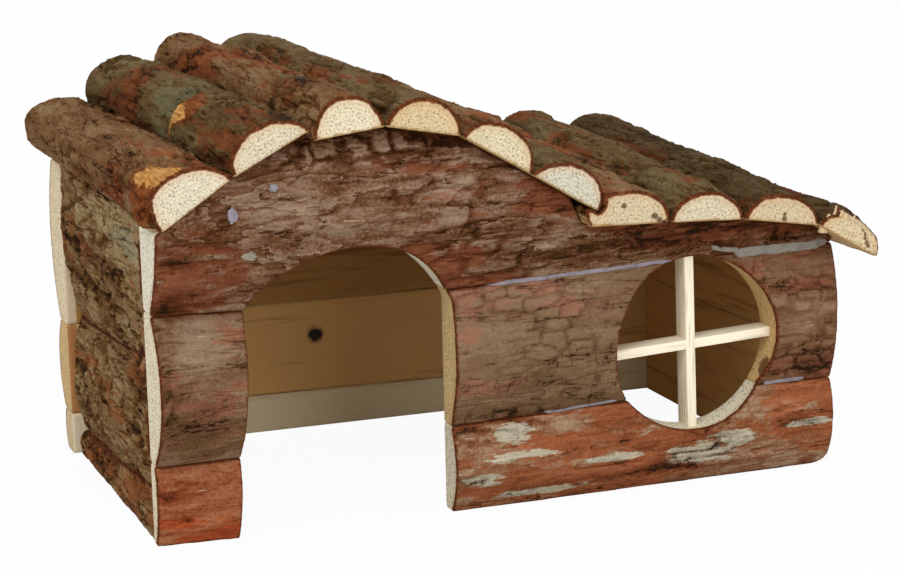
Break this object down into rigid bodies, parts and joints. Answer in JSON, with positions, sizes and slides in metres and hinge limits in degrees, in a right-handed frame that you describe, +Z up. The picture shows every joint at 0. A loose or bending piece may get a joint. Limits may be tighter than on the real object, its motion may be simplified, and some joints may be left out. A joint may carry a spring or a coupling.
{
  "type": "hamster house",
  "caption": "Small pet's wooden house of bark-faced boards with a round-headed doorway, a round cross-barred window and a curved roof of half logs.",
  "frame": {"origin": "bottom centre of the whole house, on the surface that it stands on", "axes": "+X to the right along the front wall as seen from the front, +Y from the front to the back, +Z up"},
  "size_m": [0.289, 0.2046, 0.1619],
  "materials": {
    "bark_slab": "rough bark outside, planed pale pine inside",
    "bark_log": "rough bark with pale saw-cut ends",
    "pine_lath": "planed, untreated",
    "brad_steel": "bright wire"
  },
  "bodies": {
    "root": {"front_top_board": "bark_slab", "front_left_board": "bark_slab", "front_centre_board": "bark_slab", "front_right_board": "bark_slab", "front_foot_board": "bark_slab", "front_bottom_board": "bark_slab", "back_bottom_board": "bark_slab", "back_lower_board": "bark_slab", "back_upper_board": "bark_slab", "back_gable_board": "bark_slab", "left_bottom_board": "bark_slab", "left_middle_board": "bark_slab", "left_top_board": "bark_slab", "right_bottom_board": "bark_slab", "right_top_board": "bark_slab", "roof_log_1": "bark_log", "roof_log_2": "bark_log", "roof_log_3": "bark_log", "roof_log_4": "bark_log", "roof_log_5": "bark_log", "roof_log_6": "bark_log", "roof_log_7": "bark_log", "roof_log_8": "bark_log", "roof_log_9": "bark_log", "roof_log_10": "bark_log", "window_upright": "pine_lath", "window_crossbar": "pine_lath", "front_corner_brads": "brad_steel", "back_corner_brads": "brad_steel", "front_roof_brads": "brad_steel", "back_roof_brads": "brad_steel"}
  },
  "joints": []
}
